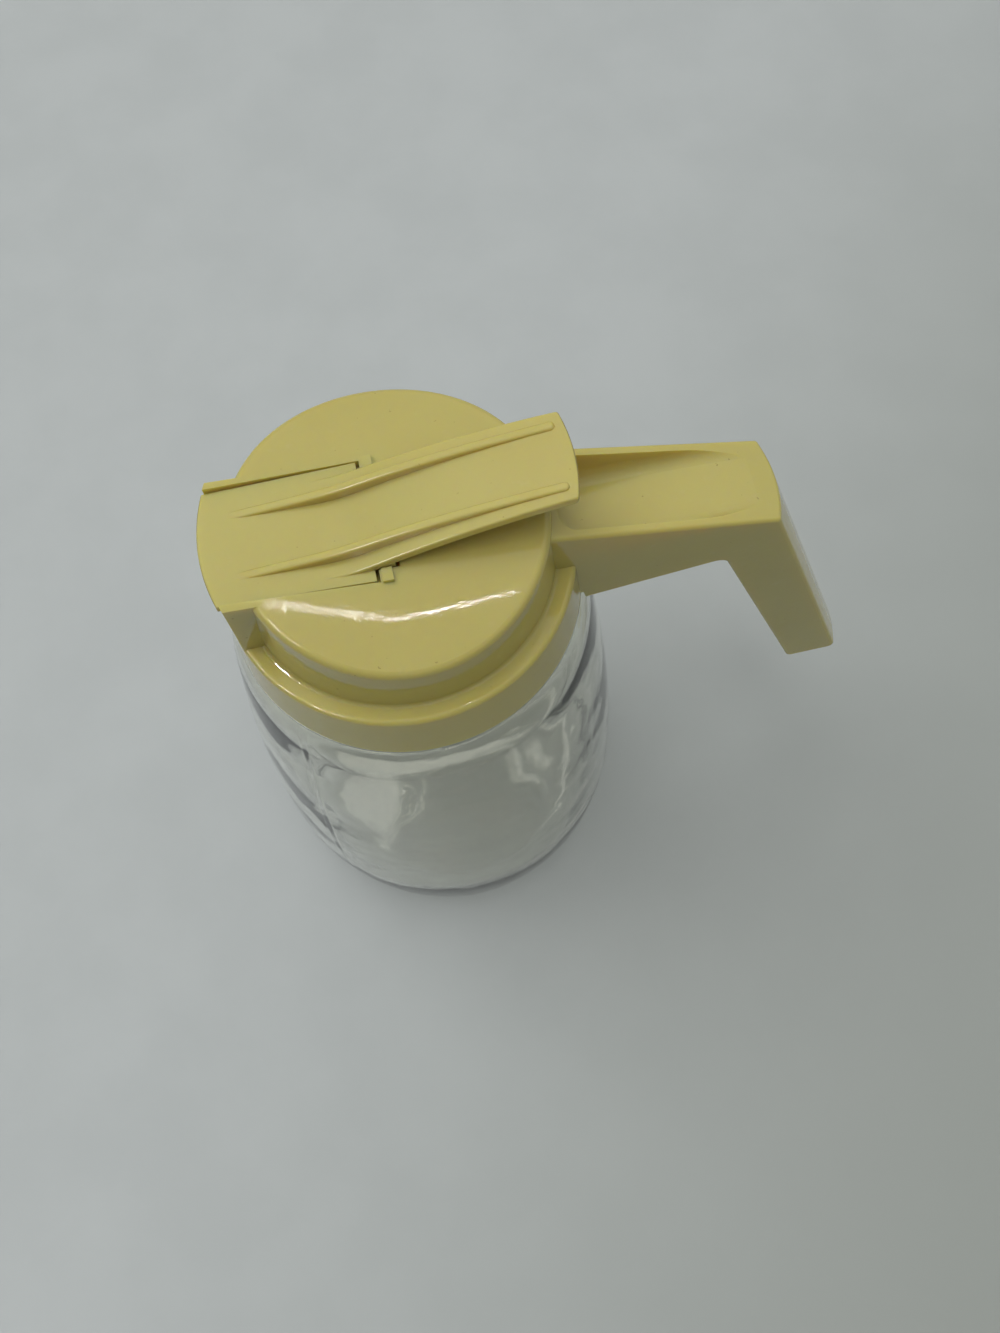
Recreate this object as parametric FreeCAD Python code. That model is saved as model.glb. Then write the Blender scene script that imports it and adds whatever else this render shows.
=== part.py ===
import FreeCAD, Part
import math
import os

# Syrup dispenser: clear glass jar, moulded cap with spout, drum and handle,
# and a rocking thumb lever whose flap closes the spout.  Units are mm.
# The jar stands on z = 0 with its axis on Z; the spout points to -X and the
# handle to +X.  The object is symmetric about the XZ plane.

V = FreeCAD.Vector
Z_AXIS = V(0, 0, 1)
Y_AXIS = V(0, 1, 0)

# ---- driving sizes -------------------------------------------------------
BAND_R = 34.0              # cap band, outer radius at its lower edge
BAND_H = 13.0              # height of the band
DRUM_H = 16.0              # crown of the drum above the band, at the jar axis
JAR_H = 119.0              # foot of the jar to the lower edge of the band
JAR_BELLY_R = 42.4         # widest radius of the jar
GRIP_LENGTH = 65.5         # how far the grip hangs below the band's lower edge
HANDLE_RUN = 36.3          # band to the outer top corner of the handle
SPOUT_HALF_W = 12.6        # half width of the spout block
LEVER_END_R = 33.2         # reach of the thumb end from the jar axis

# ---- walls and clearances ------------------------------------------------
GLASS_WALL = 2.6
GLASS_FLOOR = 6.0
NECK_WALL = 3.2
CAP_WALL = 2.2
DRUM_WALL = 2.8
SKIRT_WALL = 2.6
SEAT_GAP = 0.4             # jar to cap, where they face each other
ARM_GAP = 1.5              # jar to the handle's root, at its lower end
BEAD_GAP = 0.8             # rings on the neck to the skirt's bore
LEVER_GAP = 0.3            # lever to cap, all round the flap
POCKET_GAP = 0.3           # thumb plate to the sides of the hinge pocket
PIN_CLEARANCE = 0.07       # radial running clearance of the pivot pins

# ---- cap -----------------------------------------------------------------
BAND_TOP_R = BAND_R - 1.1
BAND_EDGE_ROUND = 1.0
SKIRT_BORE_R = BAND_R - SKIRT_WALL
LEDGE_W = 3.5              # flat on top of the band, round the drum
DRUM_FOOT_R = BAND_TOP_R - LEDGE_W
DRUM_FOOT_ROUND = 0.7
DRUM_DRAFT = 0.07          # radius lost per mm of height
DRUM_EDGE_ROUND = 1.5
CAVITY_R = DRUM_FOOT_R - DRUM_WALL
CROWN_R = 94.0             # the drum's top is a shallow barrel along X
CROWN_Z = BAND_H + DRUM_H  # crown at the jar axis, above the band's lower edge
CROWN_SLOPE = 0.07         # it falls this much per mm towards the handle
PAST_TOP = CROWN_Z + 11.0  # a level clear above the cap, for cutting

# ---- jar -----------------------------------------------------------------
HEEL_R = 9.2               # rounding between foot and side wall
FOOT_INSET = 11.1          # the flat the jar stands on is this much inside the belly
FOOT_R = JAR_BELLY_R - FOOT_INSET
SHOULDER_ROUND = 1.1
SHOULDER_R = BAND_R + 0.2
NECK_H = 10.2              # neck above the lower edge of the band
BEAD_R = SKIRT_BORE_R - BEAD_GAP
BEAD_STAND = 1.2           # how far the two rings stand out of the neck
BEAD_H = 1.6
BEAD_LEVELS = (3.2, 7.0)
NECK_R = BEAD_R - BEAD_STAND
NECK_BORE_R = NECK_R - NECK_WALL
SKIRT_DEPTH = NECK_H + SEAT_GAP

# ---- hinge ---------------------------------------------------------------
PIVOT_X = -1.5
PIVOT_DROP = 2.2           # pivot below the crown
PIVOT_Z = CROWN_Z - PIVOT_DROP
PIN_R = 1.2
EAR_R = PIN_R + 0.4

# ---- spout ---------------------------------------------------------------
MOUTH_X = -BAND_TOP_R + 0.9
CHANNEL_W_MOUTH = SPOUT_HALF_W - 1.4   # half width of the flap's channel at the mouth
CHANNEL_W_END = SPOUT_HALF_W - 0.6     # and at its inner end
CHANNEL_END_X = PIVOT_X - EAR_R
FLAP_TOP_Z = CROWN_Z - 0.6 # top of the flap, carried on to the jar axis
FLAP_SLOPE = 0.029         # the flap and its ledge rise towards the mouth
MOUTH_LIP = 2.7            # lower lip of the mouth, under the flap's tip
SEAT_W = 2.0               # ledge under each side of the flap
CHAMBER_HALF_W = CHANNEL_W_MOUTH - SEAT_W - 0.2
CHAMBER_BACK_X = -8.0
CHAMBER_FRONT_X = -BAND_TOP_R + MOUTH_LIP
CHAMBER_NECK_X = -CAVITY_R + 0.4
CHAMBER_BEND_Z = (BAND_H + 1.5, BAND_H + 6.5)

# ---- lever ---------------------------------------------------------------
FLAP_T = 1.8
FLAP_END_X = CHANNEL_END_X - 0.65
FLAP_END_ROUND = 0.5
FLAP_TIP_R = BAND_TOP_R + 0.3          # the flap's tip stands just proud of the mouth
PLATE_T = 1.7
PLATE_START_X = -14.0
# top of the thumb plate: x, and height above the crown; the last point lies
# past the thumb end, where the plate is cut off
PLATE_TOP = ((-11.0, -0.23), (-8.0, 0.02), (-5.0, 0.7), (-2.0, 1.65), (1.0, 2.6), (4.0, 3.45),
             (8.0, 4.5), (15.0, 6.1), (24.0, 7.7), (LEVER_END_R + 1.8, 9.0))
PLATE_HALF_W_0 = SPOUT_HALF_W - 3.1    # half width at the jar axis
PLATE_TAPER = 0.031        # half width lost per mm towards the thumb end
PLATE_CORNER_R = 0.7
PLATE_EDGE_ROUND = 0.4
RIB_Y = PLATE_HALF_W_0 - 3.6
RIB_W = 1.7
RIB_ROUND = 0.55           # rounding along the top of each rib
RIB_START_X = -BAND_TOP_R + 4.4
RIB_END_X = LEVER_END_R - 2.2
RIB_TOP = ((RIB_START_X, 0.05), (-18.0, 1.0), (-8.0, 2.3), (0.0, 4.3), (6.0, 5.6), (16.0, 7.3),
           (RIB_END_X, 9.1))
RIB_UNDER = ((RIB_END_X, 7.6), (16.0, 5.6), (4.0, 2.6), (-4.0, -0.2), (RIB_START_X, -0.7))
EAR_X = (PIVOT_X - 1.1, PIVOT_X + 1.4)
EAR_Y = (PLATE_HALF_W_0 - 2.7, PLATE_HALF_W_0 + 0.1)
POCKET_HALF_W = PLATE_HALF_W_0 + POCKET_GAP
POCKET_X = (PIVOT_X - EAR_R - 1.2, PIVOT_X + EAR_R + 0.5)
PIN_REACH = SPOUT_HALF_W - 0.4         # pin ends, from the middle plane
BOSS_X = (PIVOT_X - PIN_R, PIVOT_X + 0.7)  # low bosses over the pins' bores
BOSS_TOP_Z = CROWN_Z + 0.2

# ---- handle --------------------------------------------------------------
HANDLE_REACH = BAND_R + HANDLE_RUN
ARM_NEAR_X = BAND_R + 1.7
ARM_TOP_Z = CROWN_Z - 6.1  # top of the arm at ARM_NEAR_X
ARM_END_Z = CROWN_Z - 15.7 # top of the arm at HANDLE_REACH
ARM_HALF_W_NEAR = 9.2
ARM_HALF_W_END = 8.5
ARM_UNDER_Z = -3.0         # underside of the arm, close to the jar
ARM_UNDER_X = BAND_R
INNER_CORNER_X = HANDLE_REACH - 9.0    # where underside and grip meet
INNER_CORNER_Z = 0.7
INNER_ROUND = 3.0
GRIP_LEAN = 26.3           # how far the grip's end lies out past its top corner
GRIP_END_T = 11.8          # thickness of the grip's end
GRIP_OUTER_X = HANDLE_REACH + GRIP_LEAN
GRIP_INNER_X = GRIP_OUTER_X - GRIP_END_T
GRIP_BULGE = 1.3           # the grip's outer face is this much proud at its middle
GRIP_END_ROUND = 1.6
HANDLE_EDGE_ROUND = 0.8
HANDLE_ROOT_X = DRUM_FOOT_R - 2.5
TROUGH_START_X = DRUM_FOOT_R
# floor of the open trough: the share of the arm's length, and the height
# above the arm's outer top corner; it runs out level with the arm's top
TROUGH_FLOOR = ((0.0, 1.6), (0.26, 1.7), (0.504, 1.75), (0.699, 1.7), (0.822, 1.45), (0.944, 0.7),
                (1.09, -0.8))
TROUGH_SIDE = 1.7          # thickness of the trough's sides
TROUGH_CORNER_R = 3.0
TROUGH_BED_R = 2.4         # rounding between the trough's sides and its floor


def closed_wire(points, z0):
    """A closed wire of straight edges through (x, z) points, lifted by z0."""
    corners = [V(x, 0, z + z0) for x, z in points]
    corners.append(corners[0])
    return Part.makePolygon(corners)


def slab(points, half_w, z0=JAR_H):
    """A prism across Y with an (x, z) outline."""
    face = Part.Face(closed_wire(points, z0))
    prism = face.extrude(V(0, 2 * half_w, 0))
    prism.translate(V(0, -half_w, 0))
    return prism


def plan(points, z_low, z_high, z0=JAR_H):
    """A prism along Z with an (x, y) outline."""
    corners = [V(x, y, z_low + z0) for x, y in points]
    corners.append(corners[0])
    face = Part.Face(Part.makePolygon(corners))
    return face.extrude(V(0, 0, z_high - z_low))


def cone(r_low, r_high, z_low, z_high, z0=JAR_H):
    """A round body on the jar axis; equal radii give a cylinder."""
    foot = V(0, 0, z_low + z0)
    if r_low == r_high:
        return Part.makeCylinder(r_low, z_high - z_low, foot, Z_AXIS)
    return Part.makeCone(r_low, r_high, z_high - z_low, foot, Z_AXIS)


def crown_solid(drop=0.0):
    """Everything under the drum's crown, lowered by drop."""
    length = 160.0
    axis = V(1, 0, -CROWN_SLOPE)
    axis.normalize()
    axis_z = JAR_H + CROWN_Z - drop - CROWN_R * math.sqrt(1 + CROWN_SLOPE ** 2)
    start = V(0, 0, axis_z) - axis * (length / 2)
    return Part.makeCylinder(CROWN_R, length, start, axis)


def wall_cone(r_foot, z_low, z_high, draft, z_foot=BAND_H):
    """A drafted round body whose radius is r_foot at z_foot."""
    r_low = r_foot - draft * (z_low - z_foot)
    r_high = r_foot - draft * (z_high - z_foot)
    return cone(r_low, r_high, z_low, z_high)


def arc(p, q, r):
    return Part.Arc(V(p[0], 0, p[1]), V(q[0], 0, q[1]), V(r[0], 0, r[1])).toShape()


def line(p, q):
    return Part.makeLine(V(p[0], 0, p[1]), V(q[0], 0, q[1]))


def spline(points):
    """A smooth edge through (x, z) points."""
    curve = Part.BSplineCurve()
    curve.interpolate([V(x, 0, z) for x, z in points])
    return curve.toShape()


def belly(inset):
    """The jar's side, from heel to shoulder, moved inwards by inset."""
    # height as a share of JAR_H, and the share of the narrowing from belly to shoulder
    shape = ((0.144, 0.085), (0.237, 0.0), (0.29, 0.006), (0.43, 0.067),
             (0.57, 0.195), (0.715, 0.378), (0.857, 0.634), (0.93, 0.787))
    narrowing = JAR_BELLY_R - SHOULDER_R
    return [(JAR_BELLY_R - share * narrowing - inset, part * JAR_H) for part, share in shape]


def make_jar():
    # outer heel: an arc that leaves the foot level and joins the side
    lean = 0.158
    heel_top = (FOOT_R + HEEL_R * math.sqrt(1 - lean ** 2), HEEL_R - HEEL_R * lean)
    heel_mid = (FOOT_R + HEEL_R * math.sin(math.radians(45)), HEEL_R * (1 - math.cos(math.radians(45))))
    shoulder_z = JAR_H - SEAT_GAP
    top_out = (SHOULDER_R, shoulder_z - SHOULDER_ROUND)
    top_in = (SHOULDER_R - SHOULDER_ROUND, shoulder_z)
    corner = (SHOULDER_R - SHOULDER_ROUND * (1 - math.sin(math.radians(45))),
              shoulder_z - SHOULDER_ROUND * (1 - math.cos(math.radians(45))))
    outer_side = [heel_top] + belly(0.0) + [top_out]
    # inner skin
    floor_r = FOOT_R - GLASS_WALL
    inner_heel_r = HEEL_R - GLASS_WALL
    side_low = (floor_r + inner_heel_r + GLASS_WALL, GLASS_FLOOR + inner_heel_r)
    inner_mid = (floor_r + GLASS_WALL + inner_heel_r * math.sin(math.radians(45)),
                 GLASS_FLOOR + inner_heel_r * (1 - math.cos(math.radians(45))))
    neck_low = (NECK_BORE_R, JAR_H + 0.5)
    inner_side = [side_low] + belly(GLASS_WALL)[1:] + [(SHOULDER_R - 2.4, 0.965 * JAR_H), neck_low]
    mouth_z = JAR_H + NECK_H
    edges = []
    edges.append(line((0, 0), (FOOT_R, 0)))
    edges.append(arc((FOOT_R, 0), heel_mid, heel_top))
    edges.append(spline(outer_side))
    edges.append(arc(top_out, corner, top_in))
    edges.append(line(top_in, (NECK_R, shoulder_z)))
    here = (NECK_R, shoulder_z)
    for level in BEAD_LEVELS:
        low = (NECK_R, JAR_H + level - BEAD_H / 2)
        high = (NECK_R, JAR_H + level + BEAD_H / 2)
        edges.append(line(here, low))
        edges.append(arc(low, (BEAD_R, JAR_H + level), high))
        here = high
    rim_round = (NECK_R - NECK_BORE_R) / 2
    edges.append(line(here, (NECK_R, mouth_z - rim_round)))
    edges.append(arc((NECK_R, mouth_z - rim_round), (NECK_R - rim_round, mouth_z),
                     (NECK_BORE_R, mouth_z - rim_round)))
    edges.append(line((NECK_BORE_R, mouth_z - rim_round), neck_low))
    edges.append(spline(list(reversed(inner_side))))
    edges.append(arc(side_low, inner_mid, (floor_r + GLASS_WALL, GLASS_FLOOR)))
    edges.append(line((floor_r + GLASS_WALL, GLASS_FLOOR), (0, GLASS_FLOOR)))
    edges.append(line((0, GLASS_FLOOR), (0, 0)))
    face = Part.Face(Part.Wire(edges))
    return face.revolve(V(0, 0, 0), Z_AXIS, 360)


def arm_top(x):
    """Height of the arm's top face at x."""
    slope = (ARM_END_Z - ARM_TOP_Z) / (HANDLE_REACH - ARM_NEAR_X)
    return ARM_TOP_Z + slope * (x - ARM_NEAR_X)


def taper_plan(x0, w0, x1, w1, x_from, x_to, z_low, z_high):
    """A plan prism with straight sides through (x0, w0) and (x1, w1)."""
    slope = (w1 - w0) / (x1 - x0)
    w_from = w0 + slope * (x_from - x0)
    w_to = w0 + slope * (x_to - x0)
    outline = ((x_from, -w_from), (x_to, -w_to), (x_to, w_to), (x_from, w_from))
    return plan(outline, z_low, z_high)


def grip_curve():
    """Everything inside the grip's convex outer face."""
    radius = (ARM_HALF_W_END ** 2 + GRIP_BULGE ** 2) / (2 * GRIP_BULGE)
    run = V(GRIP_OUTER_X - HANDLE_REACH, 0, -GRIP_LENGTH - ARM_END_Z)
    run.normalize()
    out = V(-run.z, 0, run.x)
    face_mid = V(HANDLE_REACH, 0, JAR_H + ARM_END_Z) + out * GRIP_BULGE
    start = face_mid - out * radius - run * 60
    near = Part.makeCylinder(radius, 3 * GRIP_LENGTH, start, run)
    arm_side = Part.makeBox(HANDLE_REACH - 10, 80, 2 * JAR_H, V(0, -40, 0))
    return near.fuse(arm_side)


def pick_edges(shape, want):
    return [e for e in shape.Edges if want(e)]


def round_off(shape, radius, want):
    """Rounds the wanted edges; a shape that comes out unsound stops the build."""
    result = shape.makeFillet(radius, pick_edges(shape, want))
    if not result.isValid():
        raise ValueError("a rounding of %.2f mm is not sound" % radius)
    return result


def across_at(x, z, slack=0.3):
    """Picks the edges that run across Y at one (x, z) place."""
    def want(e):
        box = e.BoundBox
        mid = e.CenterOfMass
        near = abs(mid.x - x) < slack and abs(mid.z - JAR_H - z) < slack
        return near and abs(mid.y) < 0.1 and box.YLength > 5
    return want


def make_trough():
    """The open channel along the top of the handle's arm."""
    run = HANDLE_REACH - TROUGH_START_X
    floor = [(TROUGH_START_X + share * run, ARM_END_Z + rise) for share, rise in TROUGH_FLOOR]
    curve = Part.BSplineCurve()
    curve.interpolate([V(x, 0, z + JAR_H) for x, z in floor])
    start, end = floor[0], floor[-1]
    lid_z = JAR_H + PAST_TOP
    lid = Part.makePolygon([V(end[0], 0, end[1] + JAR_H), V(end[0], 0, lid_z),
                            V(start[0], 0, lid_z), V(start[0], 0, start[1] + JAR_H)])
    face = Part.Face(Part.Wire([curve.toShape()] + lid.Edges))
    face.translate(V(0, -20, 0))
    body = face.extrude(V(0, 40, 0))
    sides = taper_plan(ARM_NEAR_X, ARM_HALF_W_NEAR - TROUGH_SIDE, GRIP_INNER_X,
                       ARM_HALF_W_END - TROUGH_SIDE, TROUGH_START_X, end[0], 0, PAST_TOP)
    body = body.common(sides)

    def corner(e):
        box = e.BoundBox
        return box.ZLength > 0.5 * DRUM_H and abs(box.XMin - TROUGH_START_X) < 0.1

    body = round_off(body, TROUGH_CORNER_R, corner)

    def low_edge(e):
        box = e.BoundBox
        at_far_end = box.YLength > 5 and box.XMin > end[0] - 1
        return box.ZMax < JAR_H + ARM_TOP_Z and not at_far_end

    return round_off(body, TROUGH_BED_R, low_edge)


def make_handle():
    root_x = HANDLE_ROOT_X
    end_z = -GRIP_LENGTH
    past = 6.0
    tip_x = HANDLE_REACH + past
    outline = ((root_x, ARM_UNDER_Z), (ARM_UNDER_X, ARM_UNDER_Z),
               (INNER_CORNER_X, INNER_CORNER_Z), (GRIP_INNER_X, end_z),
               (GRIP_OUTER_X + past, end_z), (tip_x, arm_top(tip_x)),
               (root_x, arm_top(root_x)))
    side = slab(outline, 20.0).common(grip_curve())
    body = side.common(taper_plan(ARM_NEAR_X, ARM_HALF_W_NEAR, GRIP_INNER_X, ARM_HALF_W_END,
                                  root_x, GRIP_OUTER_X + past, end_z - 1, PAST_TOP))
    body = round_off(body, INNER_ROUND, across_at(INNER_CORNER_X, INNER_CORNER_Z))

    def grip_end(e):
        box = e.BoundBox
        flat = box.ZLength < 0.01 and abs(box.ZMin - JAR_H - end_z) < 0.01
        return flat and box.YLength > 5

    body = round_off(body, GRIP_END_ROUND, grip_end)

    def outline_edge(e):
        # the run of edges round each side of the arm and the grip
        box = e.BoundBox
        at_root = box.XMax < root_x + 0.1
        under_cap = box.XMax < ARM_UNDER_X + 0.1
        across = box.YLength > 8 and e.Length < 30
        top_arc = abs(box.ZMax - JAR_H - ARM_END_Z) < 0.3
        return top_arc or not (across or at_root or under_cap)

    body = round_off(body, HANDLE_EDGE_ROUND, outline_edge)
    # keep clear of the jar's shoulder
    return body.cut(cone(SHOULDER_R + ARM_GAP, SHOULDER_R + SEAT_GAP, ARM_UNDER_Z - 3.0, 0.0))


def flap_top(x):
    """Height of the flap's top face at x."""
    return FLAP_TOP_Z - FLAP_SLOPE * x


def seat_top(x):
    """Height of the flap's underside; its ledge lies one gap lower."""
    return flap_top(x) - FLAP_T


def channel_plan(inset, x_end):
    """The flap's tapered outline in plan, moved inwards by inset."""
    return taper_plan(MOUTH_X, CHANNEL_W_MOUTH - inset, CHANNEL_END_X, CHANNEL_W_END - inset,
                      -BAND_R - 6.0, x_end, 0, PAST_TOP)


def make_cap():
    # band with a rounded upper edge, and the drum on it
    band = cone(BAND_R, BAND_TOP_R, 0, BAND_H)
    band_top = JAR_H + BAND_H - 0.1
    band = round_off(band, BAND_EDGE_ROUND, lambda e: e.Length > BAND_R and e.CenterOfMass.z > band_top)
    drum = wall_cone(DRUM_FOOT_R, BAND_H - 2, PAST_TOP, DRUM_DRAFT)
    drum = drum.common(crown_solid())
    drum = round_off(drum, DRUM_EDGE_ROUND, lambda e: e.CenterOfMass.z > JAR_H + BAND_H + 0.4 * DRUM_H)
    cap = band.fuse(drum)

    def drum_foot(e):
        level = abs(e.CenterOfMass.z - JAR_H - BAND_H) < 0.05
        return level and 100 < e.Length < 2 * math.pi * (DRUM_FOOT_R + 0.5)

    cap = round_off(cap, DRUM_FOOT_ROUND, drum_foot)
    # spout block: its mouth is flush with the band
    far = -BAND_R - 6.0
    block = slab(((far, BAND_H - 2), (-4, BAND_H - 2), (-4, PAST_TOP), (far, PAST_TOP)), SPOUT_HALF_W)
    block = block.common(wall_cone(BAND_TOP_R, BAND_H - 2, PAST_TOP, 0.01))
    block = block.common(crown_solid())
    cap = cap.fuse([block, make_handle()])
    for side in (-1, 1):
        y_low = POCKET_HALF_W if side > 0 else -PIN_REACH - 0.1
        cap = cap.fuse(Part.makeBox(BOSS_X[1] - BOSS_X[0], PIN_REACH + 0.1 - POCKET_HALF_W, 4.0,
                                    V(BOSS_X[0], y_low, JAR_H + BOSS_TOP_Z - 4.0)))
    cap = cap.removeSplitter()
    cap = cap.cut(make_trough())
    # channel that the flap lies in, and the pocket behind it for the hinge
    floor = ((far, seat_top(far) - LEVER_GAP), (CHANNEL_END_X, seat_top(CHANNEL_END_X) - LEVER_GAP),
             (CHANNEL_END_X, PAST_TOP), (far, PAST_TOP))
    channel = slab(floor, 20.0).common(channel_plan(0.0, CHANNEL_END_X))
    pocket_z = PIVOT_Z - EAR_R - LEVER_GAP
    pocket = slab(((POCKET_X[0], pocket_z), (POCKET_X[1], pocket_z), (POCKET_X[1], PAST_TOP),
                   (POCKET_X[0], PAST_TOP)), POCKET_HALF_W)
    cap = cap.cut(channel.fuse(pocket))
    # hollow: skirt, drum, and the chamber that leads to the spout
    cap = cap.cut(cone(SKIRT_BORE_R, SKIRT_BORE_R, -6, SKIRT_DEPTH))
    hollow = wall_cone(CAVITY_R, SKIRT_DEPTH - 0.5, PAST_TOP, DRUM_DRAFT, SKIRT_DEPTH)
    hollow = hollow.common(crown_solid(CAP_WALL))
    back_x = POCKET_X[1] + CAP_WALL
    shell_z = pocket_z - CAP_WALL
    shell = slab(((far, seat_top(far) - LEVER_GAP - CAP_WALL), (POCKET_X[0] - CAP_WALL, shell_z + 1.0),
                  (POCKET_X[0] - CAP_WALL, shell_z), (back_x, shell_z), (back_x, PAST_TOP),
                  (far, PAST_TOP)), PIN_REACH + CAP_WALL)
    cap = cap.cut(hollow.cut(shell))
    chamber = ((CHAMBER_NECK_X, SKIRT_DEPTH - 0.5), (CHAMBER_NECK_X, CHAMBER_BEND_Z[0]),
               (CHAMBER_FRONT_X, CHAMBER_BEND_Z[1]), (CHAMBER_FRONT_X, PAST_TOP),
               (CHAMBER_BACK_X, PAST_TOP), (CHAMBER_BACK_X, SKIRT_DEPTH - 0.5))
    cap = cap.cut(slab(chamber, CHAMBER_HALF_W))
    # bores for the pivot pins, in the pocket's side walls
    reach = PIN_REACH + 0.3
    bore = Part.makeCylinder(PIN_R + PIN_CLEARANCE, 2 * reach, V(PIVOT_X, -reach, JAR_H + PIVOT_Z), Y_AXIS)
    return cap.cut(bore)


def plate_level(x):
    """Height of the thumb plate's top at x, straight between its points."""
    points = [(PLATE_START_X, flap_top(PLATE_START_X) - CROWN_Z)] + list(PLATE_TOP)
    for (x0, z0), (x1, z1) in zip(points, points[1:]):
        if x <= x1:
            break
    return CROWN_Z + z0 + (z1 - z0) * (x - x0) / (x1 - x0)


def thumb_plate():
    """The thumb plate: a swept side view, cut to its tapered plan."""
    top = [(PLATE_START_X, flap_top(PLATE_START_X))]
    top += [(x, CROWN_Z + rise) for x, rise in PLATE_TOP]
    under = [(x, z - PLATE_T) for x, z in top[1:]]
    under.reverse()
    under.append((PLATE_START_X, seat_top(PLATE_START_X)))
    edges = [spline(top), line(top[-1], under[0]), spline(under), line(under[-1], top[0])]
    face = Part.Face(Part.Wire(edges))
    face.translate(V(0, -20, JAR_H))
    plate = face.extrude(V(0, 40, 0))
    w_start = PLATE_HALF_W_0 - PLATE_TAPER * PLATE_START_X
    w_end = PLATE_HALF_W_0 - PLATE_TAPER * LEVER_END_R
    past_end = LEVER_END_R + 7.0
    limits = taper_plan(PLATE_START_X, w_start, LEVER_END_R, w_end, PLATE_START_X, past_end, 0, PAST_TOP)
    limits = limits.common(cone(LEVER_END_R, LEVER_END_R, -1, PAST_TOP + 1))

    def thumb_corner(e):
        box = e.BoundBox
        return box.ZLength > 0.9 * PAST_TOP and box.XMin > 0.5 * LEVER_END_R

    limits = round_off(limits, PLATE_CORNER_R, thumb_corner)
    plate = plate.common(limits)

    def top_edge(e):
        # the two long edges of the top face, its end arc and its corner arcs
        box = e.BoundBox
        mid = e.valueAt((e.FirstParameter + e.LastParameter) / 2)
        near_end = box.XMin > LEVER_END_R - 5.0
        end_low = JAR_H + CROWN_Z + PLATE_TOP[-1][1] - 0.5 * PLATE_T - 0.5
        long_side = box.XLength > LEVER_END_R and box.YLength > 0.1
        return (near_end and box.ZMin > end_low and box.ZLength < 1.0) or (
            long_side and mid.z > JAR_H + plate_level(mid.x) - 0.5 * PLATE_T)

    return round_off(plate, PLATE_EDGE_ROUND, top_edge)


def make_rib():
    """One raised rib; its near end fades into the flap."""
    top = [(x, CROWN_Z + rise) for x, rise in RIB_TOP]
    under = [(x, CROWN_Z + rise) for x, rise in RIB_UNDER]
    edges = [spline(top), line(top[-1], under[0]), spline(under), line(under[-1], top[0])]
    face = Part.Face(Part.Wire(edges))
    face.translate(V(0, -RIB_W / 2, JAR_H))
    rib = face.extrude(V(0, RIB_W, 0))

    def thumb_end(e):
        box = e.BoundBox
        return box.YLength < 0.01 and box.XLength < 0.01 and box.XMin > RIB_END_X - 1.0

    rib = round_off(rib, RIB_W / 2 - 0.05, thumb_end)

    def top_edge(e):
        mid = e.valueAt((e.FirstParameter + e.LastParameter) / 2)
        along = e.Length > RIB_END_X and mid.z > JAR_H + CROWN_Z + 2.5
        end_low = JAR_H + CROWN_Z + RIB_TOP[-1][1] - 0.8
        at_end = e.BoundBox.XMin > RIB_END_X - RIB_W and e.BoundBox.ZMin > end_low
        return along or at_end

    return round_off(rib, RIB_ROUND, top_edge)


def make_lever():
    mouth = wall_cone(FLAP_TIP_R, -10, PAST_TOP, 0.0)
    far = -BAND_R - 6.0
    flap = slab(((far, seat_top(far)), (FLAP_END_X, seat_top(FLAP_END_X)),
                 (FLAP_END_X, flap_top(FLAP_END_X)), (far, flap_top(far))), 20.0)
    flap = flap.common(channel_plan(LEVER_GAP, FLAP_END_X)).common(mouth)

    def mouth_edge(e):
        box = e.BoundBox
        at_mouth = box.YLength > CHANNEL_W_MOUTH and box.XMin < MOUTH_X + 1.0
        return at_mouth and e.CenterOfMass.z > JAR_H + seat_top(MOUTH_X) + 0.5 * FLAP_T

    flap = round_off(flap, FLAP_END_ROUND, mouth_edge)
    pieces = [thumb_plate()]
    tie_low = seat_top(FLAP_END_X) + 0.5
    back, mid, front = PIVOT_X + 0.9, PIVOT_X - 2.5, PIVOT_X - 5.5
    tie = slab(((front, tie_low), (back, tie_low), (back, plate_level(back) - 0.6),
                (mid, plate_level(mid) - 0.8), (front, flap_top(front) - 0.1)), EAR_Y[1] - 1.0)
    pieces.append(tie)
    for side in (-1, 1):
        rib = make_rib()
        rib.translate(V(0, side * RIB_Y, 0))
        pieces.append(rib)
        y_low = EAR_Y[0] if side > 0 else -EAR_Y[1]
        pieces.append(Part.makeBox(EAR_X[1] - EAR_X[0], EAR_Y[1] - EAR_Y[0], PIVOT_DROP + 0.7,
                                   V(EAR_X[0], y_low, JAR_H + PIVOT_Z)))
        hub = V(PIVOT_X, side * EAR_Y[0], JAR_H + PIVOT_Z)
        pieces.append(Part.makeCylinder(EAR_R, EAR_Y[1] - EAR_Y[0], hub, V(0, side, 0)))
        pieces.append(Part.makeCylinder(PIN_R, PIN_REACH - EAR_Y[0], hub, V(0, side, 0)))
    return flap.fuse(pieces).removeSplitter()


def save(name, shape):
    if not shape.isValid():
        raise ValueError(name + " is not valid")
    if len(shape.Solids) != 1:
        raise ValueError(name + " has %d solids" % len(shape.Solids))
    solid = shape.Solids[0]
    solid.exportStep("parts/" + name + ".step")
    return solid


os.makedirs("parts", exist_ok=True)
save("jar", make_jar())
save("cap", make_cap())
save("lever", make_lever())
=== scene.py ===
import math

import bmesh
import bpy
from mathutils import Matrix, Vector

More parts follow.
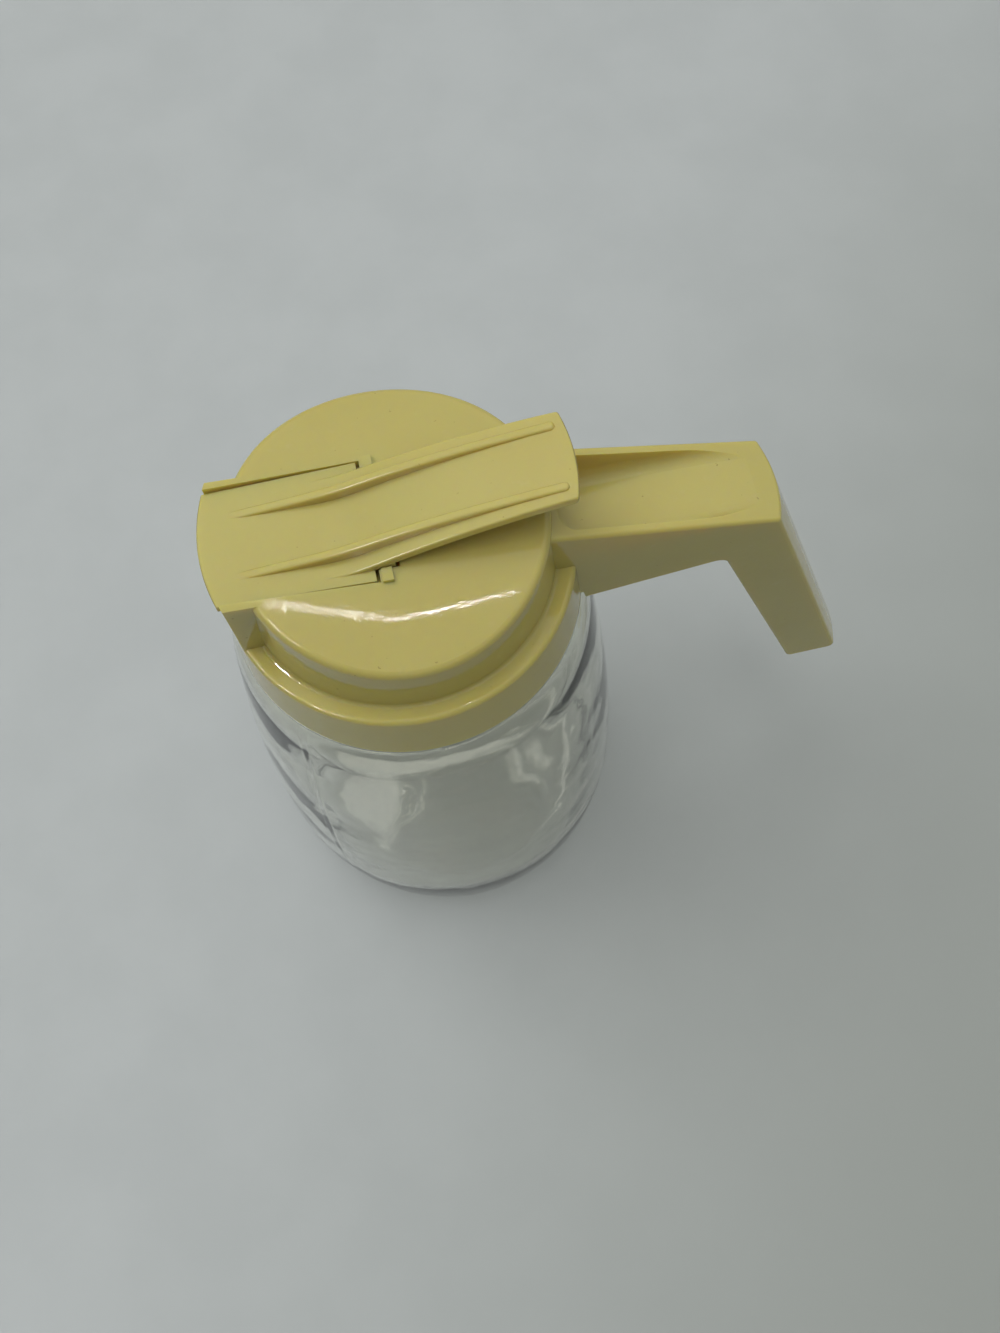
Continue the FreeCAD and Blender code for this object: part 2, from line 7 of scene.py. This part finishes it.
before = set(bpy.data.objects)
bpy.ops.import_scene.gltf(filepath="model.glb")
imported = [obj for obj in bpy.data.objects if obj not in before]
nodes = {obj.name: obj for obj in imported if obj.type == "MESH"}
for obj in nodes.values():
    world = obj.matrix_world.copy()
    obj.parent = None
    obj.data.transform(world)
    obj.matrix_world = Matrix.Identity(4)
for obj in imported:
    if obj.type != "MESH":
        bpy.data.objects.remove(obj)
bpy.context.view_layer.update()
scene = bpy.context.scene

MM = 0.001


def rgb(r, g, b):
    """An sRGB colour, 0 to 255, as linear values."""
    def linear(c):
        c = c / 255.0
        return c / 12.92 if c <= 0.04045 else ((c + 0.055) / 1.055) ** 2.4
    return (linear(r), linear(g), linear(b), 1.0)


def grey(level):
    """A grey of one linear level."""
    return (level, level, level, 1.0)


# ---- colours ----------------------------------------------------------------
YELLOW = rgb(184, 174, 101)
YELLOW_DEEP = rgb(180, 169, 96)
DUST = rgb(196, 190, 150)
SPECK = rgb(110, 98, 50)
# the colour that darkens the lever's round ends in broken patches
END_DARK_TONE = rgb(98, 94, 70)
GLASS_TINT = rgb(249, 249, 242)
TABLE = rgb(177, 182, 181)
TABLE_MOTTLE = rgb(173, 178, 177)
# painted shade: the floor's colour where the lamps leave it in shade near the object
TABLE_PAINTED_SHADE = rgb(146, 151, 145)
HORIZON = rgb(174, 179, 178)
SKY = rgb(179, 183, 182)


# ---- node helpers -----------------------------------------------------------
class Graph:
    """A small builder for the nodes of one material, world or lamp."""

    def __init__(self, owner, output_kind):
        owner.use_nodes = True
        self.tree = owner.node_tree
        self.tree.nodes.clear()
        self.out = self.add(output_kind)

    def add(self, kind):
        return self.tree.nodes.new(kind)

    def feed(self, socket, value):
        """Give a socket a number, a colour or another node's output."""
        if isinstance(value, bpy.types.NodeSocket):
            self.tree.links.new(value, socket)
        else:
            socket.default_value = value

    def coords(self, scale=(1, 1, 1), offset=(0, 0, 0)):
        """The object's own coordinates in metres, stretched and shifted."""
        place = self.add("ShaderNodeTexCoord")
        mapping = self.add("ShaderNodeMapping")
        mapping.inputs["Scale"].default_value = scale
        mapping.inputs["Location"].default_value = offset
        self.feed(mapping.inputs["Vector"], place.outputs["Object"])
        return mapping.outputs["Vector"]

    def split(self, vector):
        node = self.add("ShaderNodeSeparateXYZ")
        self.feed(node.inputs["Vector"], vector)
        return node.outputs

    def length(self, vector):
        node = self.add("ShaderNodeVectorMath")
        node.operation = "LENGTH"
        self.feed(node.inputs[0], vector)
        return node.outputs["Value"]

    def noise(self, vector, scale, detail=4.0, rough=0.55):
        """Smooth noise, with scale as features to the metre."""
        node = self.add("ShaderNodeTexNoise")
        self.feed(node.inputs["Vector"], vector)
        self.feed(node.inputs["Scale"], scale)
        self.feed(node.inputs["Detail"], detail)
        self.feed(node.inputs["Roughness"], rough)
        return node.outputs["Fac"]

    def ramp(self, value, low, high, out_low=0.0, out_high=1.0, smooth=True):
        """Go from out_low to out_high as the value goes from low to high."""
        node = self.add("ShaderNodeMapRange")
        node.interpolation_type = "SMOOTHSTEP" if smooth else "LINEAR"
        self.feed(node.inputs["Value"], value)
        self.feed(node.inputs["From Min"], low)
        self.feed(node.inputs["From Max"], high)
        self.feed(node.inputs["To Min"], out_low)
        self.feed(node.inputs["To Max"], out_high)
        return node.outputs["Result"]

    def math(self, operation, a, b=None):
        node = self.add("ShaderNodeMath")
        node.operation = operation
        self.feed(node.inputs[0], a)
        if b is not None:
            self.feed(node.inputs[1], b)
        return node.outputs[0]

    def weighted(self, *parts):
        """The sum of (value, weight) pairs."""
        total = None
        for value, weight in parts:
            term = self.math("MULTIPLY", value, weight)
            total = term if total is None else self.math("ADD", total, term)
        return total

    def mix(self, factor, a, b):
        """Colour a, turning to colour b with the factor."""
        node = self.add("ShaderNodeMix")
        node.data_type = "RGBA"
        slots = {s.name: s for s in node.inputs if s.enabled}
        self.feed(slots["Factor"], factor)
        self.feed(slots["A"], a)
        self.feed(slots["B"], b)
        return next(s for s in node.outputs if s.enabled)

    def bump(self, height, distance):
        node = self.add("ShaderNodeBump")
        self.feed(node.inputs["Height"], height)
        self.feed(node.inputs["Strength"], 1.0)
        self.feed(node.inputs["Distance"], distance)
        return node.outputs["Normal"]

    def principled(self, **sockets):
        """A Principled shader, its sockets named with _ for a space."""
        node = self.add("ShaderNodeBsdfPrincipled")
        for name, value in sockets.items():
            self.feed(node.inputs[name.replace("_", " ")], value)
        return node.outputs["BSDF"]

    def backdrop(self, height, low, high, strength):
        """A background that goes from colour low at the horizon to high near the top."""
        fade = self.add("ShaderNodeValToRGB")
        first, last = fade.color_ramp.elements
        first.color = low
        last.position = 0.9
        last.color = high
        self.feed(fade.inputs["Fac"], height)
        back = self.add("ShaderNodeBackground")
        self.feed(back.inputs["Color"], fade.outputs["Color"])
        self.feed(back.inputs["Strength"], strength)
        return back.outputs[0]

    def blend(self, factor, a, b):
        """Shader a, turning to shader b with the factor."""
        node = self.add("ShaderNodeMixShader")
        for socket, value in zip(node.inputs, (factor, a, b)):
            self.feed(socket, value)
        return node.outputs[0]

    def surface(self, shader):
        self.feed(self.out.inputs["Surface"], shader)


def material_graph(name):
    material = bpy.data.materials.new(name)
    return material, Graph(material, "ShaderNodeOutputMaterial")


# ---- plastic and glass ------------------------------------------------------
CAP_ROUGH = 0.035           # the cap is glossy
LEVER_ROUGH = 0.2           # the lever is worn duller
LEVER_DARK_RADIUS = 32.9    # past this radius the lever's round ends are darker in broken patches, mm
PEEL_DEPTH = 0.00003        # orange peel of the moulded plastic, metres
DUST_SHARE = 0.07
SPECK_SHARE = 0.5
END_DARK_SHARE = 0.62
GLASS_WAVE_DEPTH = 0.00025  # slow waves of pressed glass, metres
SEAM_ANGLE = math.radians(225.0)    # where one mould seam runs down the jar
SHADOW_LET_THROUGH = 0.79   # share of a shadow ray that each glass surface lets pass


def darken_past_radius(g, vec, tone, dark_radius):
    """Darken the tone in broken patches past a radius about the jar's axis."""
    flat = g.add("ShaderNodeVectorMath")
    flat.operation = "MULTIPLY"
    g.feed(flat.inputs[0], g.coords())
    g.feed(flat.inputs[1], (1, 1, 0))
    low = dark_radius * MM
    radius = g.length(flat.outputs["Vector"])
    edge = g.ramp(radius, low, low + 0.25 * MM, 0.0, END_DARK_SHARE)
    broken = g.ramp(g.noise(vec, 160.0, 3.0), 0.32, 0.56)
    return g.mix(g.math("MULTIPLY", edge, broken), tone, END_DARK_TONE)


def moulded_plastic(name, seed, rough, dark_radius=None):
    """Glossy pale yellow moulding with a faint orange peel, dust and specks."""
    material, g = material_graph(name)
    vec = g.coords(offset=(seed, 0, 0))
    broad = g.noise(vec, 24.0, 3.0)
    fine = g.noise(vec, 420.0, 5.0, 0.6)
    peel = g.noise(vec, 640.0, 2.0, 0.5)
    speck = g.noise(vec, 900.0, 2.0)
    tone = g.mix(g.ramp(broad, 0.3, 0.7), YELLOW, YELLOW_DEEP)
    tone = g.mix(g.ramp(fine, 0.56, 0.76, 0.0, DUST_SHARE), tone, DUST)
    tone = g.mix(g.ramp(speck, 0.74, 0.78, 0.0, SPECK_SHARE), tone, SPECK)
    if dark_radius:
        tone = darken_past_radius(g, vec, tone, dark_radius)
    g.surface(g.principled(
        Base_Color=tone,
        Roughness=g.ramp(fine, 0.3, 0.75, rough - 0.015, rough + 0.04),
        IOR=1.5,
        Subsurface_Weight=0.5,
        Subsurface_Radius=(1.0, 0.62, 0.1),
        Subsurface_Scale=0.007,
        Normal=g.bump(g.weighted((peel, 0.5), (broad, 1.4)), PEEL_DEPTH),
    ))
    return material


def seam_ridge(g, vec):
    """1 on the two mould seams, which lie in one plane through the axis."""
    place = g.split(vec)
    across = g.weighted((place["X"], math.sin(SEAM_ANGLE)),
                        (place["Y"], -math.cos(SEAM_ANGLE)))
    return g.ramp(g.math("ABSOLUTE", across), 0.1 * MM, 1.1 * MM, 1.0, 0.0)


def clear_glass(name):
    """Old pressed glass: clear, a little wavy and smeared, with two mould seams."""
    material, g = material_graph(name)
    vec = g.coords()
    wave = g.noise(vec, 26.0, 2.0)
    ripple = g.noise(g.coords(scale=(1, 1, 0.35)), 95.0, 2.0)
    smear = g.noise(vec, 60.0, 5.0)
    # the glass lets most of each shadow ray pass, so the jar's shadow stays pale
    path = g.add("ShaderNodeLightPath")
    let_through = g.math("MULTIPLY", path.outputs["Is Shadow Ray"], SHADOW_LET_THROUGH)
    relief = g.weighted((wave, 1.0), (ripple, 0.16), (seam_ridge(g, vec), 0.06))
    g.surface(g.principled(
        Base_Color=GLASS_TINT,
        Roughness=g.ramp(smear, 0.5, 0.8, 0.0, 0.05),
        IOR=1.5,
        Transmission_Weight=1.0,
        Alpha=g.math("SUBTRACT", 1.0, let_through),
        Normal=g.bump(relief, GLASS_WAVE_DEPTH),
    ))
    return material


def dress(node, material):
    node.data.materials.clear()
    node.data.materials.append(material)


cap_look = moulded_plastic("cap_moulded", 0.0, CAP_ROUGH)
lever_look = moulded_plastic("lever_moulded", 3.0, LEVER_ROUGH, LEVER_DARK_RADIUS)
dress(nodes["cap"], cap_look)
dress(nodes["lever"], lever_look)
dress(nodes["jar"], clear_glass("jar_glass"))


# ---- floor ------------------------------------------------------------------
FLOOR_HALF = 3.0            # metres
FLOOR_DROP = 0.2 * MM       # the glass rests on a film of air
SHADE_TOWARDS = (0.80, -0.60)     # painted shade darkens the floor on this side of the object
SHADE_START, SHADE_FULL = -0.05, 0.22   # along that direction, metres
SHADE_FADE, SHADE_END = 0.22, 0.45      # the painted shade fades out between these distances, metres
HORIZON_START, HORIZON_FULL = 0.45, 1.40    # distance at which the floor fades out, metres


def floor_material():
    """Matt grey-white, with shade painted on it near the object towards +X and -Y."""
    material, g = material_graph("floor_pale")
    vec = g.coords()
    tone = g.mix(g.ramp(g.noise(vec, 30.0, 4.0), 0.3, 0.7), TABLE, TABLE_MOTTLE)
    place = g.split(vec)
    along = g.weighted((place["X"], SHADE_TOWARDS[0]), (place["Y"], SHADE_TOWARDS[1]))
    away = g.length(vec)
    near = g.ramp(away, SHADE_FADE, SHADE_END, 1.0, 0.0)
    # painted shade: darken the floor near the object towards +X and -Y, where the lamps leave it
    # in shade
    painted_shade = g.math("MULTIPLY", g.ramp(along, SHADE_START, SHADE_FULL), near)
    matt = g.principled(Base_Color=g.mix(painted_shade, tone, TABLE_PAINTED_SHADE), Roughness=0.85)
    # far from the object the floor runs into the horizon with no edge
    horizon = g.add("ShaderNodeEmission")
    g.feed(horizon.inputs["Color"], HORIZON)
    path = g.add("ShaderNodeLightPath")
    seen = g.math("MAXIMUM", path.outputs["Is Camera Ray"], path.outputs["Is Transmission Ray"])
    far = g.math("MULTIPLY", seen, g.ramp(away, HORIZON_START, HORIZON_FULL))
    g.surface(g.blend(far, matt, horizon.outputs["Emission"]))
    return material


def make_floor():
    bm = bmesh.new()
    bmesh.ops.create_grid(bm, x_segments=8, y_segments=8, size=FLOOR_HALF)
    bmesh.ops.translate(bm, vec=(0, 0, -FLOOR_DROP), verts=bm.verts)
    mesh = bpy.data.meshes.new("floor")
    bm.to_mesh(mesh)
    bm.free()
    floor = bpy.data.objects.new("floor", mesh)
    scene.collection.objects.link(floor)
    mesh.materials.append(floor_material())


# ---- light ------------------------------------------------------------------
DOME_LOW, DOME_HIGH = grey(0.07), grey(0.86)    # at the horizon and near the top
DOME_FRONT, DOME_BACK = 0.42, 1.12  # strength at the front (-Y) and at the back
PALE_SHARE = 0.30           # of the pale dome, in what is reflected inside the glass
JAR_MIDDLE = Vector((0, 0, 0.1))
TUBE_HEIGHT = 1.119         # of the two thin lamps over the cap, metres
TUBE_WIDTH = 0.0025
TUBE_CORNER = (94, -8)      # where they meet, mm
GLINT_HEIGHT = 1.1          # of the thin lamp to the left, metres
GLINT_WIDTH = 0.03


def studio_dome():
    """A soft dome, brightest overhead and dimmer at the front; pale where seen direct."""
    world = bpy.data.worlds.new("studio")
    scene.world = world
    g = Graph(world, "ShaderNodeOutputWorld")
    place = g.add("ShaderNodeTexCoord")
    towards = g.split(place.outputs["Generated"])
    side = g.ramp(towards["Y"], -1.0, 1.0, DOME_FRONT, DOME_BACK, smooth=False)
    lit = g.backdrop(towards["Z"], DOME_LOW, DOME_HIGH, side)
    pale = g.backdrop(towards["Z"], HORIZON, SKY, 1.0)
    path = g.add("ShaderNodeLightPath")
    direct = g.math("MAXIMUM", path.outputs["Is Camera Ray"], path.outputs["Is Transmission Ray"])
    # what is reflected inside the glass sees a part of the pale dome too
    inside = g.math("MULTIPLY", path.outputs["Is Glossy Ray"], path.outputs["Transmission Depth"])
    seen = g.math("MAXIMUM", direct, g.math("MINIMUM", inside, PALE_SHARE))
    g.surface(g.blend(seen, lit, pale))


def area_lamp(name, size, power):
    data = bpy.data.lights.new(name, "AREA")
    data.shape = "RECTANGLE"
    data.size, data.size_y = size
    data.energy = power
    lamp = bpy.data.objects.new(name, data)
    scene.collection.objects.link(lamp)
    return lamp


def soft_lamp(name, place, size, power):
    """A square lamp that faces the jar. It shows in no gloss, so it leaves no grey patch."""
    lamp = area_lamp(name, (size, size), power)
    lamp.location = place
    lamp.rotation_euler = (JAR_MIDDLE - Vector(place)).to_track_quat("-Z", "Y").to_euler()
    lamp.visible_glossy = False


def thin_lamp(name, start, end, height, width, power):
    """A thin level lamp that faces down, from start to end, which are (x, y) in mm."""
    run = (Vector(end) - Vector(start)) * MM
    middle = (Vector(end) + Vector(start)) / 2 * MM
    lamp = area_lamp(name, (run.length, width), power)
    lamp.location = (middle.x, middle.y, height)
    lamp.rotation_euler = (0, 0, math.atan2(run.y, run.x))
    return lamp


def glint_lamp(name, start, end, power):
    """A thin lamp off to one side that shows only as glints on glossy edges and glass."""
    lamp = thin_lamp(name, start, end, GLINT_HEIGHT, GLINT_WIDTH, power)
    lamp.visible_diffuse = False
    lamp.visible_transmission = False
    # none of its light reaches a matt surface, not even through the glass
    g = Graph(lamp.data, "ShaderNodeOutputLight")
    path = g.add("ShaderNodeLightPath")
    emission = g.add("ShaderNodeEmission")
    g.feed(emission.inputs["Strength"], g.math("LESS_THAN", path.outputs["Diffuse Depth"], 0.5))
    g.surface(emission.outputs["Emission"])


# ---- camera -----------------------------------------------------------------
CAMERA_AZIMUTH = math.radians(-5.149)
CAMERA_ELEVATION = math.radians(69.406)
CAMERA_ROLL = math.radians(-6.821)
CAMERA_LENS = 35.1088       # on a 36 mm film side
CAMERA_PLACE = (6.811, -106.646, 348.547)


def make_camera():
    """A camera above the cap that looks steeply down, with a small roll."""
    level = math.cos(CAMERA_ELEVATION)
    back = Vector((math.sin(CAMERA_AZIMUTH) * level, -math.cos(CAMERA_AZIMUTH) * level,
                   math.sin(CAMERA_ELEVATION)))
    right = Vector((0, 0, 1)).cross(back).normalized()
    turn = Matrix.Rotation(CAMERA_ROLL, 3, back)
    right = turn @ right
    up = back.cross(right)
    data = bpy.data.cameras.new("camera")
    data.sensor_fit = "AUTO"
    data.sensor_width = 36.0
    data.lens = CAMERA_LENS
    data.clip_start = 0.01
    camera = bpy.data.objects.new("camera", data)
    scene.collection.objects.link(camera)
    axes = Matrix((right, up, back)).transposed().to_4x4()
    camera.matrix_world = Matrix.Translation(Vector(CAMERA_PLACE) * MM) @ axes
    scene.camera = camera


make_floor()
studio_dome()
soft_lamp("key_soft", (-0.65, 0.5, 2.0), size=1.3, power=16.5)
soft_lamp("top_soft", (0.05, -0.35, 2.0), size=0.7, power=6.0)
thin_lamp("tube_a", (-27, 165), TUBE_CORNER, TUBE_HEIGHT, TUBE_WIDTH, power=0.13)
thin_lamp("tube_b", TUBE_CORNER, (202, 23), TUBE_HEIGHT, TUBE_WIDTH, power=0.095)
glint_lamp("tube_left", (-1740, 170), (-470, -520), power=30.0)
make_camera()

scene.view_settings.view_transform = "Standard"
